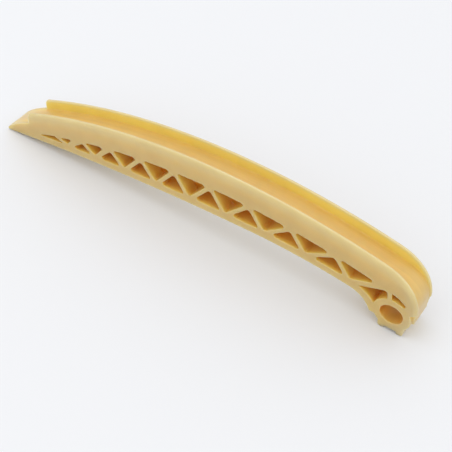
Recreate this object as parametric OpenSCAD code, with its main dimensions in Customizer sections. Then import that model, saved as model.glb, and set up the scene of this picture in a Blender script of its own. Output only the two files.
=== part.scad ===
// Chain guide, moulded in one piece: a shallow curved channel carries the chain, a zigzag
// rib truss on both sides of a middle web stiffens it, and a bored boss is its pivot.
// The origin is the centre of the pivot bore. +X points past the pivot, away from the
// free end, +Y runs across the guide and +Z points up, out of the channel.

/* [Body] */
// Width across the two rails
body_w = 14.5; // [12:0.5:18]
// Thickness of the middle web behind the rib pockets
web_t = 2; // [1.2:0.2:4]

/* [Channel] */
// Radius of the rail tops along the long curve
main_r = 325; // [310:5:380]
// Distance of the highest point of the curve behind the pivot
crest_x = 71.5; // [66:0.5:78]
// Height of the highest point over the pivot axis
crest_h = 31.8; // [30.6:0.2:36]
// Height of the rails over the channel floor
rail_h = 5.5; // [4.5:0.1:6.5]
// Thickness of a rail
rail_t = 1.8; // [1.4:0.1:2.6]
// Width of a rail's rounded outer shoulder, as a share of its thickness
shoulder_share = 0.75; // [0.5:0.05:0.85]
// Height of the rounded outer shoulder
shoulder_h = 2.4; // [1.2:0.1:3.2]
// Fillet between a rail and the channel floor
rail_fillet = 0.8; // [0.4:0.1:1.4]
// Distance from the pivot to the free end of the rails
rail_len = 195.5; // [188:0.5:200]
// Rounding of the rails at their free end
rail_end_r = 4; // [3:0.25:5]

/* [Pivot end] */
// Diameter of the pivot bore
bore_d = 10; // [8:0.5:12]
// Wall of the boss around the bore
boss_wall = 3.4; // [2.6:0.1:4.4]
// Radius of the rail tops where they turn down around the boss
end_r = 20; // [17:0.5:23]
// Thickness of the lip, where the channel floor runs down in front of the boss
lip_t = 1; // [0.6:0.1:1.6]
// Height of the rails over the channel floor where they begin to fade into the lip
lip_rail_h = 0.7; // [0.4:0.1:1.2]
// Distance of the lip's lower edge below the pivot axis
lip_drop = 1.4; // [0.6:0.1:3]
// Bearing, seen from the pivot, of the upper end of the steps beside the lip
step_a = 29; // [22:1:36]
// Depth of these steps from the side
step_d = 1.6; // [0.8:0.1:2.4]

/* [Feet] */
// Height of the feet under the boss
foot_h = 1.8; // [1.2:0.1:3]
// Reach of the rear foot behind the pivot
foot_rear = 5; // [4.4:0.1:5.6]
// Reach of the front foot past the pivot
foot_front = 6.3; // [5.4:0.1:6.8]
// Length of each foot along the guide
foot_l = 2.9; // [2:0.1:3.6]
// Height of the gap between the two feet
foot_gap = 1.4; // [0.8:0.1:1.8]
// Rounding of the feet at their outer corners
foot_round = 1.2; // [0.4:0.1:1.8]

/* [Free end] */
// Length of the nose beyond the rails
nose_l = 16; // [12:0.5:22]
// Height of the channel floor over the tip's lower edge, where the rails end
nose_drop = 11.5; // [10:0.1:13]
// Thickness of the tip
tip_t = 1.5; // [1:0.1:2.5]

/* [Underside] */
// Radius of the arch under the truss
belly_r = 270; // [220:5:330]
// Distance of the top of the arch behind the pivot
belly_x = 54.5; // [50:0.5:60]
// Height of the top of the arch over the pivot axis
belly_h = 6.1; // [5:0.1:7.5]
// Radius of the long run from the arch to the tip
ramp_r = 1200; // [900:20:1600]
// Radius between the arch and the boss
heel_r = 12; // [9:0.5:15]
// Distance of the heel's rear face behind the boss
heel_t = 0.6; // [0.2:0.1:1.2]
// Distance of the heel's lower edge below the pivot axis
heel_drop = 4.3; // [3.4:0.1:5]

/* [Truss] */
// Height of the plain side band, from the rail tops to the pockets
band_h = 11.5; // [10.5:0.1:13]
// Thickness of the lower chord under the pockets
chord_t = 4; // [3:0.1:5]
// Thickness of a rib
rib_t = 2; // [1.4:0.1:2.6]
// Distance of the first upper joint of the ribs behind the pivot
first_joint = 5.8; // [5:0.1:6.6]
// Length of the bay next to the boss
bay_l = 21.55; // [20:0.05:24]
// Length of each further bay as a share of the one before
bay_step = 0.969; // [0.94:0.001:0.99]
// How far each falling rib leans towards the pivot
rib_lean = 6.6; // [5:0.1:8]
// Distance on the chord between the feet of two ribs, as a share of the height of the pockets there
joint_share = 0.21; // [0.1:0.01:0.3]
// Least slope of the pockets' rising edges behind the crest, where the truss gets low
edge_a = 50; // [44:1:56]
// Thickness of the rib next to the boss
boss_rib_t = 2.8; // [2:0.1:3.4]
// Radius in the corners of the pockets
pocket_r = 1.1; // [0.4:0.1:1.6]
// Radius in the corners of the last pocket, where the truss runs out
wedge_r = 0.15; // [0.05:0.05:0.4]
// Rise of the last pocket over the line along the tops of the others
wedge_rise = 0.3; // [0:0.1:1.2]
// Height of the slot over the boss at its rear end
slot_rear_h = 3.8; // [2.6:0.1:4.4]
// Height of the slot over the boss at its front end
slot_front_h = 1.4; // [0.8:0.1:2]
// Bearing of the rear end of the slot, seen from the pivot
slot_rear_a = 97; // [92:1:100]
// Bearing of the front end of the slot, seen from the pivot
slot_front_a = 59; // [52:1:66]

/* [Hidden] */
// Steps in a long curve, in a short curve and in a small round
long_n = 64;
short_n = 24;
round_n = 8;
corner_n = 4;
// Overlap of shapes that are joined, and overshoot of shapes that are cut
lap = 1;
// Largest radius in a pocket's corners, as a share of the largest circle that fits in the pocket
corner_share = 0.4;
// Depth of the rail fillets' feet in the channel floor, so that they cross it cleanly
sink = 0.05;
// Depth of the rails' end curve below their long curve, so that the two overlap cleanly where they join
slip = 0.02;

boss_r = bore_d / 2 + boss_wall;
stand_h = boss_r + foot_h;
shoulder_w = shoulder_share * rail_t;
floor_r = main_r - rail_h;
band_r = main_r - band_h;
main_c = [-crest_x, crest_h - main_r];
lip = [boss_r + lip_t, -lip_drop];
reach = lip[0] + lip_rail_h;

// The rails' end curve lies inside the long curve and touches it, and so does the floor's
end_c = inner_centre(main_c, main_r, end_r, reach - end_r);
lip_top = [lip[0], end_c[1]];
floor_end_r = (pow(floor_r, 2) - pow(norm(lip_top - main_c), 2)) / 2 / (floor_r - (lip[0] - main_c[0]));
floor_end_c = lip_top - [floor_end_r, 0];

belly_c = [-belly_x, belly_h - belly_r];
heel_c = inner_centre(belly_c, belly_r, heel_r, -boss_r - heel_t - heel_r);
nose_start = on_top(main_c, floor_r, -rail_len);
tip = nose_start - [nose_l, nose_drop];
ramp_c = crossing(tip, ramp_r, belly_c, ramp_r - belly_r);

// Centre, at a given x, of a circle that touches a larger one from inside
function inner_centre(c, big_r, small_r, x) = [x, c[1] + sqrt(pow(big_r - small_r, 2) - pow(x - c[0], 2))];

// Upper point of a circle at a given x
function on_top(c, r, x) = [x, c[1] + sqrt(r * r - pow(x - c[0], 2))];

// One of the two points at r1 from p1 and at r2 from p2, the one to the right of the way there
function crossing(p1, r1, p2, r2) =
    let (d = norm(p2 - p1), u = (p2 - p1) / d, a = (r1 * r1 - r2 * r2 + d * d) / 2 / d)
    p1 + a * u + sqrt(r1 * r1 - a * a) * [u[1], -u[0]];

function bearing(v) = atan2(v[1], v[0]);

function arc(c, r, a1, a2, n) = [for (i = [0:n]) let (a = a1 + (a2 - a1) * i / n) c + r * [cos(a), sin(a)]];

// Arc that leaves p at right angles to the normal and ends in q
function arc_to(p, normal, q, n) =
    let (r = -pow(norm(q - p), 2) / 2 / (normal * (q - p)), c = p - r * normal)
    arc(c, r, bearing(normal), bearing((q - c) * sign(r)), n);

// Point where two lines meet, each given by a point and a direction
function meet(p, u, q, v) = p + u * (cross(q - p, v) / cross(u, v));

// Triangle with each edge moved inwards by its own amount, for corners that run anticlockwise
function inset(tri, by) =
    let (
        dir = [for (i = [0:2]) (tri[(i + 1) % 3] - tri[i]) / norm(tri[(i + 1) % 3] - tri[i])],
        start = [for (i = [0:2]) tri[i] + by[i] * [-dir[i][1], dir[i][0]]]
    )
    [for (i = [0:2]) meet(start[(i + 2) % 3], dir[(i + 2) % 3], start[i], dir[i])];

// Radius of the largest circle that fits in a triangle
function inradius(tri) =
    let (around = norm(tri[1] - tri[0]) + norm(tri[2] - tri[1]) + norm(tri[0] - tri[2]))
    cross(tri[1] - tri[0], tri[2] - tri[0]) / around;

// Corner b of a polygon a, b, c, rounded
function round_corner(a, b, c, r) =
    let (
        u = (a - b) / norm(a - b),
        v = (c - b) / norm(c - b),
        half = acos(u * v) / 2,
        centre = b + (u + v) / norm(u + v) * r / sin(half),
        from = bearing(cross(u, v) < 0 ? [-u[1], u[0]] : [u[1], -u[0]])
    )
    arc(centre, r, from, from + 180 - 2 * half, corner_n);

// Triangle with round corners, which leave at least a part of each edge straight
function rounded(tri, corner_r) =
    let (r = min(corner_r, corner_share * inradius(tri)))
    [for (i = [0:2]) each round_corner(tri[(i + 2) % 3], tri[i], tri[(i + 1) % 3], r)];

// Lower edge of the guide, and the lines that the pockets lie between
touch_x = (belly_c + belly_r * (belly_c - ramp_c) / norm(belly_c - ramp_c))[0];
function underside(x) = x < touch_x ? on_top(ramp_c, ramp_r, x)[1] : on_top(belly_c, belly_r, x)[1];
function chord(x) = [x, underside(x) + chord_t];
function band(x) = on_top(main_c, band_r, x);
function gap(x) = band(x)[1] - chord(x)[1];

// Place near the free end where the last pocket's upper and lower edges run together
function closing_x(low, high, n) =
    let (mid = (low + high) / 2)
    n == 0 ? mid : gap(mid) + wedge_rise > 0 ? closing_x(low, mid, n - 1) : closing_x(mid, high, n - 1);
wedge_x = closing_x(-rail_len, -crest_x, 16);

// Upper joints of the ribs, from the boss to the free end, while the pockets have any height
function joint_x(k) = -first_joint - bay_l * (1 - pow(bay_step, k)) / (1 - bay_step);
most_bays = floor(rail_len / rib_lean);
joints = [for (k = [0:most_bays]) let (x = joint_x(k)) if (x > wedge_x && gap(x) > rib_t) x];
last = len(joints) - 1;

// Ends of the ribs: one falls from each upper joint, and one rises from beside its foot to the joint before
function upper(k) = band(joints[k]);
function lower(k) = chord(joints[k] + rib_lean);
function rising(k) = chord(joints[k] + rib_lean + joint_share * gap(joints[k]));

// Direction of the edge that rises to joint k, which is steeper than its rib where the truss gets low
function edge(k) =
    let (a = bearing(upper(k) - rising(k + 1)), slope = joints[k] < -crest_x ? max(a, edge_a) : a)
    [cos(slope), sin(slope)];

// Sides and ends of the beam under the rails, without the boss and the feet
beam = concat(
    [lip],
    arc(floor_end_c, floor_end_r, 0, bearing(floor_end_c - main_c), short_n),
    arc(main_c, floor_r, bearing(floor_end_c - main_c), bearing(nose_start - main_c), long_n),
    arc_to(nose_start, (nose_start - main_c) / floor_r, tip + [0, tip_t], short_n),
    arc(ramp_c, ramp_r, bearing(tip - ramp_c), bearing(belly_c - ramp_c), long_n),
    arc(belly_c, belly_r, bearing(belly_c - ramp_c), bearing(heel_c - belly_c), long_n),
    arc(heel_c, heel_r, bearing(heel_c - belly_c), asin((-heel_drop - heel_c[1]) / heel_r), short_n),
    [[0, -heel_drop], [0, -lip_drop]]
);

// Rounded outer shoulder of a rail, from its side to its top, by the distance from the curve's
// centre and the place across the guide; it may stand a little proud
function shoulder(top_r, proud) =
    [for (i = [0:round_n])
        let (a = 90 * i / round_n)
        [top_r - shoulder_h, body_w / 2 - shoulder_w] + proud * [shoulder_h * sin(a), shoulder_w * cos(a)]];

// Section of a rail, given in the same way
function rail_section(top_r) =
    let (
        inner = body_w / 2 - rail_t,
        base_r = top_r - rail_h - sink,
        foot = inner - rail_fillet,
        top_round = rail_t - shoulder_w,
        fillet_c = [base_r + rail_fillet, foot]
    )
    concat(
        [[base_r - lap, foot], [base_r - lap, body_w / 2]],
        shoulder(top_r, 1),
        arc([top_r, inner] + top_round * [-1, 1], top_round, -90 / corner_n, -90, corner_n - 1),
        arc(fillet_c, rail_fillet, 90, 180, corner_n)
    );

// Ends of the rails' two curves, as bearings from the curves' centres; the rails fade into the lip
junction = bearing(end_c - main_c);
free_end = bearing(nose_start - main_c) + lap;
fade = acos((lip[0] - end_c[0]) / end_r) + lap;

// The rails, drawn with the side view lying flat: x along the guide, y up, z across
module rail() {
    difference() {
        translate(main_c)
            rotate_extrude(angle = free_end - junction, start = junction, $fn = 256)
                polygon(rail_section(main_r));
        rail_end_cut();
    }
    translate(end_c)
        rotate_extrude(angle = junction + fade + lap, start = -fade, $fn = 128)
            polygon(rail_section(end_r - slip));
}

// What is cut from the beam where the rails run out into it, so that their shoulder goes on to the lip
module shoulder_cut() {
    proud = 1.02;
    out = [end_r, body_w / 2] + lap * [1, 1];
    translate(end_c)
        rotate_extrude(angle = junction + fade, start = -fade, $fn = 128)
            polygon(concat(
                shoulder(end_r, proud),
                [[out[0], body_w / 2 - shoulder_w], out, [end_r - shoulder_h, out[1]]]
            ));
}

// What is cut away beyond the rounded free end of the rails
module rail_end_cut() {
    x = rail_end_r - rail_len;
    proud = 0.03;
    c = on_top(main_c, main_r - rail_end_r + proud, x);
    far = tip[0] - lap;
    low = tip[1] - lap;
    high = crest_h + lap;
    linear_extrude(body_w + 2 * lap, center = true)
        polygon(concat(
            [[far, low], [-rail_len, low]],
            arc(c, rail_end_r, 180, 90, round_n),
            [[x, high], [far, high]]
        ));
}

module feet() {
    difference() {
        polygon(concat(
            [[foot_front, 0], [-foot_rear, 0]],
            arc([foot_round - foot_rear, foot_round - stand_h], foot_round, 180, 270, round_n),
            arc([foot_front - foot_round, foot_round - stand_h], foot_round, -90, 0, round_n)
        ));
        translate([foot_l - foot_rear, -stand_h - lap])
            square([foot_rear + foot_front - 2 * foot_l, foot_gap + lap]);
    }
}

// Pockets between the ribs, each a triangle that points down or up in turn
module truss_pockets() {
    half = rib_t / 2;
    for (k = [0:last - 1]) {
        foot = meet(upper(k + 1), lower(k + 1) - upper(k + 1), rising(k + 1), edge(k));
        head = meet(upper(k + 1), upper(k) - upper(k + 1), rising(k + 1), edge(k));
        polygon(rounded(inset([foot, head, upper(k + 1)], [half, 0, half]), pocket_r));
        if (k > 0)
            polygon(rounded(inset([rising(k + 1), lower(k), upper(k)], [0, half, half]), pocket_r));
    }
    wedge = [chord(wedge_x), lower(last), upper(last) + [0, wedge_rise]];
    polygon(rounded(inset(wedge, [0, half, 0]), wedge_r));
}

// Pocket between the first rib, the boss and the chord where it turns down
module boss_pocket() {
    rib = (upper(0) - rising(1)) / norm(upper(0) - rising(1));
    start = rising(1) + (boss_rib_t - rib_t / 2) * [rib[1], -rib[0]];
    slot_edge = [cos(slot_rear_a), sin(slot_rear_a)];
    front = rib_t * [-slot_edge[1], slot_edge[0]];
    corner = meet(start, rib, front, slot_edge);
    difference() {
        polygon(concat([start, heel_c, front], round_corner(front, corner, start, pocket_r)));
        circle(boss_r, $fn = 96);
        translate(heel_c)
            circle(heel_r + chord_t, $fn = 96);
    }
}

// Slot over the boss
module boss_slot() {
    slot_top = [for (i = [0:short_n])
        let (
            a = slot_front_a + (slot_rear_a - slot_front_a) * i / short_n,
            h = slot_front_h + (slot_rear_h - slot_front_h) * i / short_n
        )
        (boss_r + h) * [cos(a), sin(a)]];
    difference() {
        polygon(concat([[0, 0]], slot_top));
        circle(boss_r, $fn = 96);
    }
}

// Step beside the lip, where the boss stands wider than the lip
module lip_step() {
    far = reach + lap;
    difference() {
        polygon([[0, -far], [far, -far], [far, far * tan(step_a)], [0, 0]]);
        translate([-far, -2 * far])
            square([2 * far, 2 * far - lip_drop - lap]);
        circle(boss_r, $fn = 96);
    }
}

module side_cuts() {
    translate([0, 0, web_t / 2])
        linear_extrude(body_w / 2) {
            truss_pockets();
            boss_pocket();
            boss_slot();
        }
    translate([0, 0, body_w / 2 - step_d])
        linear_extrude(step_d + lap)
            lip_step();
    shoulder_cut();
}

module chain_guide() {
    color("burlywood")
        rotate([90, 0, 0])
            difference() {
                union() {
                    linear_extrude(body_w, center = true) {
                        polygon(beam);
                        circle(boss_r, $fn = 96);
                        feet();
                    }
                    rail();
                    mirror([0, 0, 1])
                        rail();
                }
                cylinder(h = body_w + 2 * lap, d = bore_d, center = true, $fn = 96);
                side_cuts();
                mirror([0, 0, 1])
                    side_cuts();
            }
}

chain_guide();
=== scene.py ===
# A chain guide moulded in natural nylon, lying on a pale surface in soft studio light.
import math

import bpy
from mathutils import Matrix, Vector


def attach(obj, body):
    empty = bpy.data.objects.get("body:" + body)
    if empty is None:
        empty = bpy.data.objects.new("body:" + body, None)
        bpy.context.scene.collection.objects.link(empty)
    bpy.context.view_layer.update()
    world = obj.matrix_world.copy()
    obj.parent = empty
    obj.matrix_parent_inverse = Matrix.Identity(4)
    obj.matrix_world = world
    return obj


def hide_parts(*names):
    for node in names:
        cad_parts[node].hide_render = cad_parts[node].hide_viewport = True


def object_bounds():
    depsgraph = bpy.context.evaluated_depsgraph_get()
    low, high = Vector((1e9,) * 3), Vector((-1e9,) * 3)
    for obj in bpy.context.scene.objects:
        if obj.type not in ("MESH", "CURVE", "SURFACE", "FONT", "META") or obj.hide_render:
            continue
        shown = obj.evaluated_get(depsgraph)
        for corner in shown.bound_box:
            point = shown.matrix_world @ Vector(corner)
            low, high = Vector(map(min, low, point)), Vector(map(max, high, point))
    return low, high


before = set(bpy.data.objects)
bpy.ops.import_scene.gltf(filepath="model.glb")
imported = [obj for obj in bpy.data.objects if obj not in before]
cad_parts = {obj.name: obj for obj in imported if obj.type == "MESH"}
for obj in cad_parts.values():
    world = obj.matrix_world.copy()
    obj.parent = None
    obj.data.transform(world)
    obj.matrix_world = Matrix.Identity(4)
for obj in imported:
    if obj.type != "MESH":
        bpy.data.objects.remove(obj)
cad_low, cad_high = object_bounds()

MM = 0.001
GUIDE = "chain_guide"

# Camera: the picture's width and the focal length in pixels, the sensor's width in millimetres, the
# nearest thing that is shown, where the camera stands in the part's frame, and how far it looks down from
# level and turns about the vertical
FRAME_PX = 452
FOCAL_PX = 888
SENSOR_W = 36.0
NEAREST = 10 * MM
CAMERA_PLACE = Vector((67.8, -216.4, 283.0)) * MM
LEVEL = math.radians(90)
CAMERA_FALL = math.radians(47.71)
CAMERA_TURN = math.radians(35.20)

# Easing that the mould leaves on all edges: size of the skin's faces, how far and how often they are
# evened out, and the share of them that is kept
SKIN = 0.25 * MM
EASE = 0.5
EASE_ROUNDS = 8
SKIN_KEPT = 0.18

# Nylon: its colour in the thick; painted bounce glow where the chain runs, on the rails' inner faces and
# on the pockets' walls;
# a painted highlight along the rail tops and on convex edges; and painted shade in closed-in corners
NYLON = (0.67, 0.48, 0.172, 1)
RUN_GLOW = (0.76, 0.53, 0.17, 1)
WALL_GLOW = (0.78, 0.555, 0.145, 1)
PALE_HIGHLIGHT = (0.60, 0.472, 0.23, 1)
EDGE_HIGHLIGHT = (0.72, 0.60, 0.32, 1)
DEEP_SHADE = (0.62, 0.25, 0.008, 1)
# Depth under the rail tops where the outside starts to lose the painted highlight and where it has lost
# it, and where the rails' inner faces have lost it
HIGHLIGHT_DEPTH = 1.0 * MM
HIGHLIGHT_END = 6.5 * MM
HIGHLIGHT_END_IN = 2.2 * MM
# How much of the painted highlight on convex edges shows, Blender's pointiness of a flat face, and how far
# it rises at a bend that shows the painted highlight fully
EDGE_HIGHLIGHT_SHARE = 0.2
FLAT = 0.5
EDGE_BEND = 0.06
# Reach of the walls that close a place in, and how open it is where the walls' painted bounce glow starts
# and is full, and where the painted shade starts and is full
DEEP_REACH = 9 * MM
GLOW_FROM = 0.95
GLOW_FULL = 0.6
SHADE_FROM = 0.78
SHADE_FULL = 0.3
# The bore, at the frame's origin, and the share of the painted shade in it
BORE_CENTRE = Vector((0, 0, 0))
BORE_R = 5.0 * MM
BORE_SHADE = 0.9
# How far a wall looks up where light starts to take the painted shade away and where it has done so, and
# the part of the painted shade that stays there
UP_FROM = 0.1
UP_FULL = 0.7
SHADE_LOOKING_UP = 0.35
# Where the chain runs: the rails' thickness and inner faces, how far the inner faces' painted glow reaches
# onto the floor and onto the rail tops, and the depth under the long curve where the painted glow and the
# streaks of the chain's run start to fade and where they are gone
RAIL_T = 1.8 * MM
RAIL_IN = cad_high.y - RAIL_T
FLOOR_FADE = 3.0 * MM
TOP_FADE = 0.3 * MM
RUN_DEPTH = 6.0 * MM
RUN_END = 14.0 * MM
# Levels that Blender's noise seldom leaves
NOISE_LOW = 0.3
NOISE_HIGH = 0.7
# Streaks where the chain runs: length, width, fineness, and how far they lighten and darken the colour
STREAK_L = 150 * MM
STREAK_W = 1.6 * MM
STREAK_DETAIL = 2
STREAK_DEPTH = 0.035
# Clouds all over: size, fineness, and how far they lighten and darken the colour
CLOUD = 9 * MM
CLOUD_DETAIL = 3
CLOUD_DEPTH = 0.025
# Grain of the mould's surface
GRAIN = 0.5 * MM
GRAIN_DETAIL = 2
GRAIN_HEIGHT = 0.012 * MM
# How far red, green and blue light spread in the nylon, and the roughness and refraction of its skin
SPREAD = Vector((7.0, 7.0, 6.0)) * MM
ROUGH = 0.28
REFRACTION = 1.53

# Rail tops in side view, which keeps X and Z: a long curve, and a short one that turns down at the pivot
# end
SIDE_VIEW = (1, 0, 1)
MAIN_R = 325 * MM
END_R = 20 * MM
CREST_X = -71.5 * MM
MAIN_CENTRE = Vector((CREST_X, 0, cad_high.z - MAIN_R))
END_X = cad_high.x - END_R
END_CENTRE = Vector((END_X, 0, MAIN_CENTRE.z + math.sqrt((MAIN_R - END_R) ** 2 - (END_X - CREST_X) ** 2)))
TURN_X = MAIN_CENTRE.x + (END_X - CREST_X) * MAIN_R / (MAIN_R - END_R)

# Pale surface under the guide: its size, its colour as it is seen and as it throws light back, and its
# dull finish
FLOOR_SIZE = 40.0
FLOOR = (0.85, 0.862, 0.888, 1)
FLOOR_BOUNCE = (0.68, 0.685, 0.70, 1)
FLOOR_ROUGH = 0.8
FLOOR_SHINE = 0.1

# Light: the room's colour, its bright side and its lowest and highest level, and the soft box above the
# guide, with its place from the guide's middle
WHITE = (1, 1, 1, 1)
BRIGHT_SIDE = Vector((0.3, 0.1, 0.95)).normalized()
ROOM_LOW = 0.56
ROOM_HIGH = 1.10
BOX_PLACE = Vector((-0.25, -0.15, 0.95))
BOX_SIZE = 0.7
BOX_POWER = 0.9


class Graph:
    """Nodes of a material or a world, with short ways to add the kinds that are used here."""

    def __init__(self, owner):
        owner.use_nodes = True
        self.nodes = owner.node_tree.nodes
        self.links = owner.node_tree.links

    def feed(self, socket, source):
        """Link a node's output to a socket, or set a plain value there."""
        if isinstance(source, bpy.types.NodeSocket):
            self.links.new(source, socket)
        else:
            socket.default_value = source

    def math(self, operation, first, second=0):
        """Sum, product or the like of two numbers, or an operation on the first one alone."""
        node = self.nodes.new("ShaderNodeMath")
        node.operation = operation
        self.feed(node.inputs[0], first)
        self.feed(node.inputs[1], second)
        return node.outputs[0]

    def vector(self, operation, first, second):
        """Operation on two vectors, with the outputs Vector and Value."""
        node = self.nodes.new("ShaderNodeVectorMath")
        node.operation = operation
        self.feed(node.inputs[0], first)
        self.feed(node.inputs[1], second)
        return node.outputs

    def parts(self, vector):
        """Outputs X, Y and Z of a vector."""
        node = self.nodes.new("ShaderNodeSeparateXYZ")
        self.links.new(vector, node.inputs["Vector"])
        return node.outputs

    def ramp(self, source, low, high, to_low, to_high, kind="SMOOTHSTEP"):
        """Number that goes from to_low to to_high while the source goes from low to high."""
        node = self.nodes.new("ShaderNodeMapRange")
        node.interpolation_type = kind
        node.inputs["From Min"].default_value = low
        node.inputs["From Max"].default_value = high
        node.inputs["To Min"].default_value = to_low
        node.inputs["To Max"].default_value = to_high
        self.links.new(source, node.inputs["Value"])
        return node.outputs["Result"]

    def mix(self, share, first, second):
        """Mix of two colours, with a share of the second one."""
        node = self.nodes.new("ShaderNodeMix")
        node.data_type = "RGBA"
        self.feed(node.inputs["Factor"], share)
        self.feed(node.inputs["A"], first)
        self.feed(node.inputs["B"], second)
        return node.outputs["Result"]

    def noise(self, where, size, detail):
        """Soft noise with spots of a size."""
        node = self.nodes.new("ShaderNodeTexNoise")
        node.inputs["Scale"].default_value = 1 / size
        node.inputs["Detail"].default_value = detail
        self.links.new(where, node.inputs["Vector"])
        return node.outputs["Fac"]


def eased_copy(node, name):
    """Copy of a node under an even skin of small faces, with its edges and corners eased."""
    piece = bpy.data.objects.new(name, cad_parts[node].data.copy())
    bpy.context.scene.collection.objects.link(piece)
    skin = piece.modifiers.new("skin", "REMESH")
    skin.mode = "VOXEL"
    skin.voxel_size = SKIN
    skin.use_smooth_shade = True
    ease = piece.modifiers.new("ease", "SMOOTH")
    ease.factor = EASE
    ease.iterations = EASE_ROUNDS
    thin_out = piece.modifiers.new("thin_out", "DECIMATE")
    thin_out.ratio = SKIN_KEPT
    shaped = piece.evaluated_get(bpy.context.evaluated_depsgraph_get())
    mesh = bpy.data.meshes.new_from_object(shaped)
    piece.modifiers.clear()
    piece.data = mesh
    mesh.name = name
    mesh.materials.clear()
    return piece


def depth_under(graph, flat_place, centre, radius):
    """Depth of a place in side view under a round stretch."""
    away = graph.vector("DISTANCE", flat_place, centre)["Value"]
    return graph.math("SUBTRACT", radius, away)


def rail_depth(graph, place, flat_place, main_depth):
    """Depth under the rail tops: under the long curve, and past the turn under the short one."""
    past_turn = graph.math("GREATER_THAN", graph.parts(place)["X"], TURN_X)
    before_turn = graph.math("SUBTRACT", 1, past_turn)
    end_depth = depth_under(graph, flat_place, END_CENTRE, END_R)
    return graph.math(
        "ADD",
        graph.math("MULTIPLY", past_turn, end_depth),
        graph.math("MULTIPLY", before_turn, main_depth),
    )


def rail_top_highlight(graph, across, outside, depth):
    """Share of the painted highlight, which goes down the rails' outside and a little down their inner
    faces.
    """
    on_rail = graph.ramp(across, RAIL_IN - TOP_FADE, RAIL_IN, 0, 1)
    highlight_out = graph.math("MULTIPLY", outside, graph.ramp(depth, HIGHLIGHT_DEPTH, HIGHLIGHT_END, 1, 0))
    highlight_in = graph.math("MULTIPLY", on_rail, graph.ramp(depth, 0, HIGHLIGHT_END_IN, 1, 0))
    return graph.math("MAXIMUM", highlight_out, highlight_in)


def glow_and_shade_in_hollows(graph, flat_place, on_run, looks_up):
    """Shares of the walls' painted bounce glow, off the chain's run, and of the painted shade, off the
    chain's run and in the bore.
    """
    walls = graph.nodes.new("ShaderNodeAmbientOcclusion")
    walls.only_local = True
    walls.inputs["Distance"].default_value = DEEP_REACH
    openness = walls.outputs["AO"]
    off_run = graph.math("SUBTRACT", 1, on_run)
    pocket_glow = graph.math("MULTIPLY", off_run, graph.ramp(openness, GLOW_FULL, GLOW_FROM, 1, 0))
    far_in_shade = graph.math("MULTIPLY", off_run, graph.ramp(openness, SHADE_FULL, SHADE_FROM, 1, 0))
    bore_depth = depth_under(graph, flat_place, BORE_CENTRE, BORE_R + SKIN)
    bore_shade_share = graph.ramp(bore_depth, 0, SKIN, 0, BORE_SHADE)
    # Walls that look up keep less of the painted shade
    from_light = graph.ramp(looks_up, UP_FROM, UP_FULL, 1, SHADE_LOOKING_UP)
    deep_shade = graph.math("MULTIPLY", graph.math("MAXIMUM", far_in_shade, bore_shade_share), from_light)
    return pocket_glow, deep_shade


def clouds_and_streaks(graph, place, on_run):
    """Level of the colour, which varies in clouds and, where the chain runs, in streaks."""
    at = graph.parts(place)
    along = graph.nodes.new("ShaderNodeCombineXYZ")
    graph.links.new(graph.math("MULTIPLY", at["X"], STREAK_W / STREAK_L), along.inputs["X"])
    graph.links.new(at["Y"], along.inputs["Y"])
    streaks = graph.noise(along.outputs["Vector"], STREAK_W, STREAK_DETAIL)
    swing = graph.ramp(streaks, NOISE_LOW, NOISE_HIGH, -STREAK_DEPTH, STREAK_DEPTH)
    streak = graph.math("ADD", 1, graph.math("MULTIPLY", on_run, swing))
    clouds = graph.noise(place, CLOUD, CLOUD_DETAIL)
    cloud = graph.ramp(clouds, NOISE_LOW, NOISE_HIGH, 1 - CLOUD_DEPTH, 1 + CLOUD_DEPTH)
    return graph.math("MULTIPLY", cloud, streak)


def nylon_colour(graph, place):
    """Colour of the nylon, with painted glow, highlight and shade set by its place on the guide and by how
    convex or closed in the surface is.
    """
    flat_place = graph.vector("MULTIPLY", place, SIDE_VIEW)["Vector"]
    across = graph.math("ABSOLUTE", graph.parts(place)["Y"])
    main_depth = depth_under(graph, flat_place, MAIN_CENTRE, MAIN_R)
    depth = rail_depth(graph, place, flat_place, main_depth)
    outside = graph.ramp(across, RAIL_IN, RAIL_IN + TOP_FADE, 0, 1)
    inside = graph.math("SUBTRACT", 1, outside)
    on_run = graph.math("MULTIPLY", inside, graph.ramp(main_depth, RUN_DEPTH, RUN_END, 1, 0))
    near_rail = graph.ramp(across, RAIL_IN - FLOOR_FADE, RAIL_IN, 0, 1)
    # Painted highlight along the rail tops and down the rails' outside
    pale = rail_top_highlight(graph, across, outside, depth)

    surface = graph.nodes.new("ShaderNodeNewGeometry").outputs
    # Painted highlight on convex edges, by pointiness
    edge_highlight = graph.ramp(surface["Pointiness"], FLAT, FLAT + EDGE_BEND, 0, EDGE_HIGHLIGHT_SHARE)
    pocket_glow, deep_shade = glow_and_shade_in_hollows(graph, flat_place, on_run, graph.parts(surface["Normal"])["Z"])

    # Painted bounce glow where the chain runs, fuller towards the rails' inner faces
    channel_glow = graph.mix(near_rail, RUN_GLOW, WALL_GLOW)
    glow_and_top_highlight = graph.mix(pale, graph.mix(on_run, NYLON, channel_glow), PALE_HIGHLIGHT)
    edge_lit = graph.mix(edge_highlight, glow_and_top_highlight, EDGE_HIGHLIGHT)
    # Painted bounce glow on the pockets' walls, then painted shade in closed-in corners and in the bore
    colour = graph.mix(deep_shade, graph.mix(pocket_glow, edge_lit, WALL_GLOW), DEEP_SHADE)
    varied = graph.nodes.new("ShaderNodeVectorMath")
    varied.operation = "SCALE"
    graph.links.new(colour, varied.inputs[0])
    graph.links.new(clouds_and_streaks(graph, place, on_run), varied.inputs["Scale"])
    return varied.outputs["Vector"]


def mould_grain(graph, place):
    """Fine grain that the mould leaves on the surface."""
    grain = graph.nodes.new("ShaderNodeBump")
    grain.inputs["Distance"].default_value = GRAIN_HEIGHT
    graph.links.new(graph.noise(place, GRAIN, GRAIN_DETAIL), grain.inputs["Height"])
    return grain.outputs["Normal"]


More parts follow.
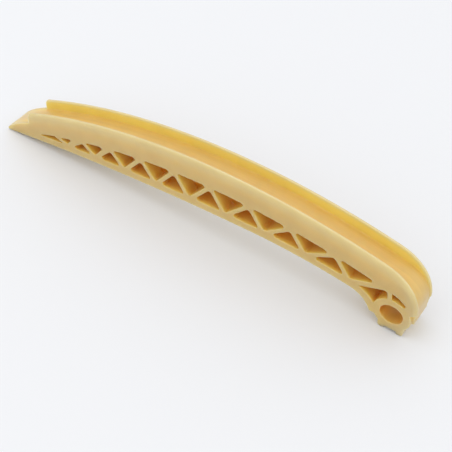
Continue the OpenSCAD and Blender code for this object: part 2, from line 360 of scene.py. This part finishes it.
def nylon():
    """Natural nylon: warm beige and translucent, with a soft satin skin."""
    mat = bpy.data.materials.new("natural_nylon")
    graph = Graph(mat)
    shader = graph.nodes["Principled BSDF"]
    shader.inputs["Roughness"].default_value = ROUGH
    shader.inputs["IOR"].default_value = REFRACTION
    shader.inputs["Subsurface Weight"].default_value = 1.0
    shader.inputs["Subsurface Radius"].default_value = SPREAD / SPREAD.x
    shader.inputs["Subsurface Scale"].default_value = SPREAD.x
    place = graph.nodes.new("ShaderNodeTexCoord").outputs["Object"]
    graph.links.new(nylon_colour(graph, place), shader.inputs["Base Color"])
    graph.links.new(mould_grain(graph, place), shader.inputs["Normal"])
    return mat


def pale_surface():
    """Dull white, which is seen brighter than it throws light back onto the guide."""
    mat = bpy.data.materials.new("pale_surface")
    graph = Graph(mat)
    rays = graph.nodes.new("ShaderNodeLightPath").outputs
    seen = graph.math("MAXIMUM", rays["Is Camera Ray"], rays["Is Glossy Ray"])
    seen = graph.math("MAXIMUM", seen, rays["Is Transmission Ray"])
    shader = graph.nodes["Principled BSDF"]
    graph.links.new(graph.mix(seen, FLOOR_BOUNCE, FLOOR), shader.inputs["Base Color"])
    shader.inputs["Roughness"].default_value = FLOOR_ROUGH
    shader.inputs["Specular IOR Level"].default_value = FLOOR_SHINE
    return mat


def lay_floor():
    """Wide floor that the guide lies on."""
    bpy.ops.mesh.primitive_plane_add(size=FLOOR_SIZE, location=(0, 0, cad_low.z))
    floor = bpy.context.object
    floor.name = "floor"
    floor.data.materials.append(pale_surface())


def light_room():
    """Soft white light from all around, which is brighter from one side."""
    world = bpy.data.worlds.new("soft_room")
    graph = Graph(world)
    sky = graph.nodes["Background"]
    sky.inputs["Color"].default_value = WHITE
    direction = graph.nodes.new("ShaderNodeTexCoord").outputs["Generated"]
    side = graph.vector("DOT_PRODUCT", direction, BRIGHT_SIDE)["Value"]
    level = graph.ramp(side, -1, 1, ROOM_LOW, ROOM_HIGH, "LINEAR")
    graph.links.new(level, sky.inputs["Strength"])
    bpy.context.scene.world = world


def hang_soft_box():
    """Round lamp above the guide, aimed at its middle."""
    centre = (cad_low + cad_high) / 2
    lamp = bpy.data.lights.new("soft_box", "AREA")
    lamp.shape = "DISK"
    lamp.size = BOX_SIZE
    lamp.energy = BOX_POWER
    soft_box = bpy.data.objects.new("soft_box", lamp)
    soft_box.location = centre + BOX_PLACE
    soft_box.rotation_mode = "QUATERNION"
    soft_box.rotation_quaternion = (centre - soft_box.location).to_track_quat("-Z", "Y")
    bpy.context.scene.collection.objects.link(soft_box)


def place_camera():
    """Camera that sees the guide as the photo shows it."""
    data = bpy.data.cameras.new("camera")
    data.sensor_width = SENSOR_W
    data.lens = SENSOR_W * FOCAL_PX / FRAME_PX
    data.clip_start = NEAREST
    cam = bpy.data.objects.new("camera", data)
    cam.location = CAMERA_PLACE
    cam.rotation_euler = (LEVEL - CAMERA_FALL, 0, CAMERA_TURN)
    bpy.context.scene.collection.objects.link(cam)
    bpy.context.scene.camera = cam


guide = eased_copy(GUIDE, "moulded_guide")
guide.data.materials.append(nylon())
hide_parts(GUIDE)
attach(guide, "root")

lay_floor()
light_room()
hang_soft_box()
place_camera()
bpy.context.scene.view_settings.view_transform = "Standard"
